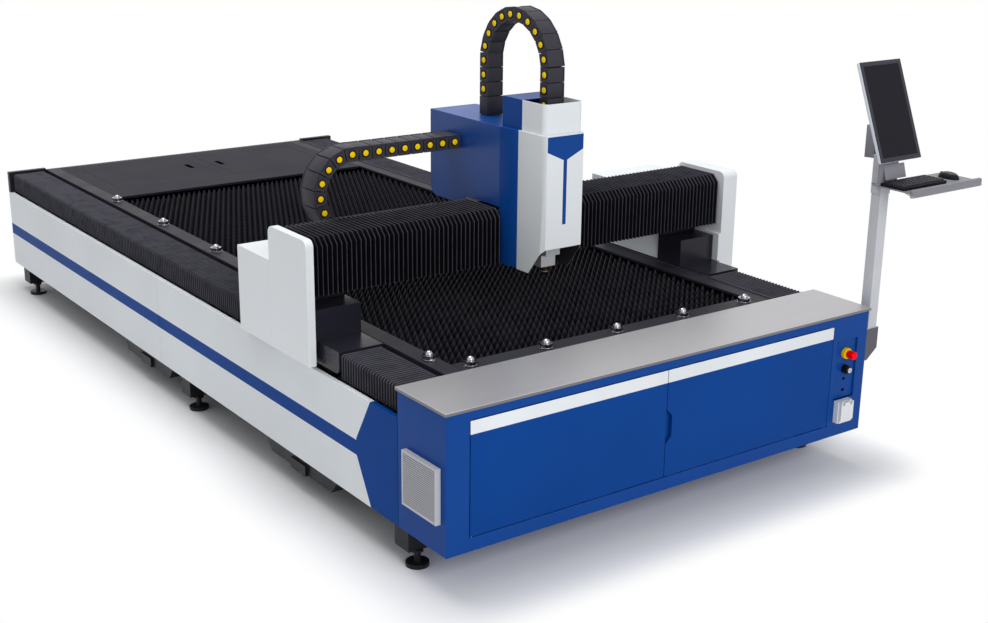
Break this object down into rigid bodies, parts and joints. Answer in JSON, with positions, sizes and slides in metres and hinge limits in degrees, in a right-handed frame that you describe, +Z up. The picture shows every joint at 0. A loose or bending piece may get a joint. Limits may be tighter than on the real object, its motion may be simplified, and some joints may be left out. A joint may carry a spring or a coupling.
{
  "type": "fiber laser cutting machine",
  "caption": "Open flat-bed laser cutting machine with front cabinet, saw-tooth slat bed, bellows-covered gantry, head carriage, drag chains, slag drawers and swivel operator console.",
  "frame": {"origin": "centre of the overall box at floor level, under the levelling feet", "axes": "+X to the right across the bed, +Y from the front cabinet to the rear, +Z up"},
  "size_m": [2.487, 4.425, 1.7916],
  "materials": {
    "blue_paint": "satin gloss",
    "white_paint": "satin",
    "black_paint": "satin",
    "grey_paint": "satin",
    "dark_steel": "satin machined",
    "stainless": "brushed",
    "machined": "machined",
    "bright": "polished",
    "cast_alloy": "machined",
    "bellows": "coated fabric",
    "chain_plastic": "matte",
    "black_plastic": "matte",
    "white_plastic": "gloss",
    "yellow_plastic": "gloss",
    "red_plastic": "gloss",
    "screen": "gloss"
  },
  "bodies": {
    "base": {"frame_beams": "black_paint", "frame_posts": "black_paint", "cross_members": "black_paint", "slat_bars": "black_paint", "slats": "dark_steel", "feet": "machined", "bed_rim": "dark_steel", "ball_supports": "bright", "rear_deck": "dark_steel", "rear_covers": "dark_steel", "side_panels": "white_paint", "rear_panel": "black_paint", "y_rails_racks": "machined", "y_bellows_front": "bellows", "y_bellows_rear": "bellows", "cabinet_shell": "blue_paint", "top_plate": "stainless", "door_hinges": "machined", "vent_grille": "grey_paint", "control_plate": "blue_paint", "switch_bodies": "yellow_plastic", "socket_box": "white_plastic", "cabinet_units": "grey_paint", "drawer_runners": "machined", "console_post": "grey_paint"},
    "door_left": {"door_left": "blue_paint"},
    "door_right": {"door_right": "blue_paint"},
    "estop": {"estop_button": "red_plastic"},
    "key": {"key_core": "machined"},
    "socket_lid": {"socket_lid": "white_plastic"},
    "drawer_front": {"drawer_front": "black_paint"},
    "drawer_rear": {"drawer_rear": "black_paint"},
    "gantry": {"gantry_legs": "cast_alloy", "y_blocks": "machined", "y_motors": "black_paint", "beam": "cast_alloy", "end_covers": "white_plastic", "rear_boxes": "white_paint", "x_rails_rack": "machined", "x_bellows": "bellows", "chain_tray": "black_paint", "chain_x": "chain_plastic"},
    "pinion_left": {"y_pinion_left": "machined"},
    "pinion_right": {"y_pinion_right": "machined"},
    "carriage": {"carriage_plate": "cast_alloy", "x_blocks": "machined", "carriage_motors": "black_paint", "carriage_cover": "blue_paint", "column_cover": "blue_paint", "head_cover": "white_paint", "chain_z": "chain_plastic"},
    "pinion_x": {"x_pinion": "machined"},
    "screw_z": {"z_screw": "machined"},
    "head": {"z_slide": "cast_alloy", "cutting_head": "cast_alloy"},
    "console": {"console_arm": "grey_paint", "keyboard": "black_plastic", "mouse": "black_plastic"},
    "monitor": {"monitor": "screen"}
  },
  "joints": [
    {"name": "gantry_slide", "type": "slide", "parent": "base", "child": "gantry", "axis": [0, 1, 0], "range_m": [-0.26, 2.66], "deforming": ["y_bellows_front", "y_bellows_rear"]},
    {"name": "carriage_slide", "type": "slide", "parent": "gantry", "child": "carriage", "axis": [1, 0, 0], "range_m": [-0.64, 0.74], "deforming": ["x_bellows", "chain_x"]},
    {"name": "head_slide", "type": "slide", "parent": "carriage", "child": "head", "axis": [0, 0, 1], "range_m": [-0.12, 0], "deforming": ["chain_z"]},
    {"name": "door_left_hinge", "type": "hinge", "parent": "base", "child": "door_left", "pos_m": [-1.1075, -2.0805, 0.408], "axis": [0, 0, -1], "range_deg": [0, 100]},
    {"name": "door_right_hinge", "type": "hinge", "parent": "base", "child": "door_right", "pos_m": [0.5845, -2.0805, 0.408], "axis": [0, 0, 1], "range_deg": [0, 100]},
    {"name": "estop_press", "type": "slide", "parent": "base", "child": "estop", "axis": [0, 1, 0], "range_m": [0, 0.006], "stiffness_N_per_m": 800, "springref_m": -0.003},
    {"name": "key_turn", "type": "hinge", "parent": "base", "child": "key", "pos_m": [0.6775, -2.0975, 0.426], "axis": [0, 1, 0], "range_deg": [0, 90]},
    {"name": "socket_lid_hinge", "type": "hinge", "parent": "base", "child": "socket_lid", "pos_m": [0.6675, -2.1135, 0.298], "axis": [-1, 0, 0], "range_deg": [0, 100]},
    {"name": "drawer_front_slide", "type": "slide", "parent": "base", "child": "drawer_front", "axis": [-1, 0, 0], "range_m": [0, 0.75]},
    {"name": "drawer_rear_slide", "type": "slide", "parent": "base", "child": "drawer_rear", "axis": [-1, 0, 0], "range_m": [0, 0.75]},
    {"name": "console_swivel", "type": "hinge", "parent": "base", "child": "console", "pos_m": [0.8735, -2.0185, 1.13], "axis": [0, 0, 1], "range_deg": [-45, 45]},
    {"name": "monitor_tilt", "type": "hinge", "parent": "console", "child": "monitor", "pos_m": [0.8735, -2.0185, 1.355], "axis": [1, 0, 0], "range_deg": [-15, 15]},
    {"name": "pinion_left_spin", "type": "hinge", "parent": "gantry", "child": "pinion_left", "pos_m": [-1.1751, -0.8225, 0.512], "axis": [0, 0, 1], "range_deg": [-7700, 760]},
    {"name": "pinion_right_spin", "type": "hinge", "parent": "gantry", "child": "pinion_right", "pos_m": [0.7521, -0.8225, 0.512], "axis": [0, 0, 1], "range_deg": [-760, 7700]},
    {"name": "pinion_x_spin", "type": "hinge", "parent": "carriage", "child": "pinion_x", "pos_m": [-0.259, -1.0969, 0.995], "axis": [0, 0, 1], "range_deg": [-2200, 1900]},
    {"name": "screw_z_spin", "type": "hinge", "parent": "carriage", "child": "screw_z", "pos_m": [-0.259, -1.2425, 1.1], "axis": [0, 0, 1], "range_deg": [-4400, 60]}
  ],
  "couplings": [
    {"joint": "pinion_left_spin", "follows": "gantry_slide", "rad_per_m": -50},
    {"joint": "pinion_right_spin", "follows": "gantry_slide", "rad_per_m": 50},
    {"joint": "pinion_x_spin", "follows": "carriage_slide", "rad_per_m": -50},
    {"joint": "screw_z_spin", "follows": "head_slide", "rad_per_m": 628.32}
  ]
}
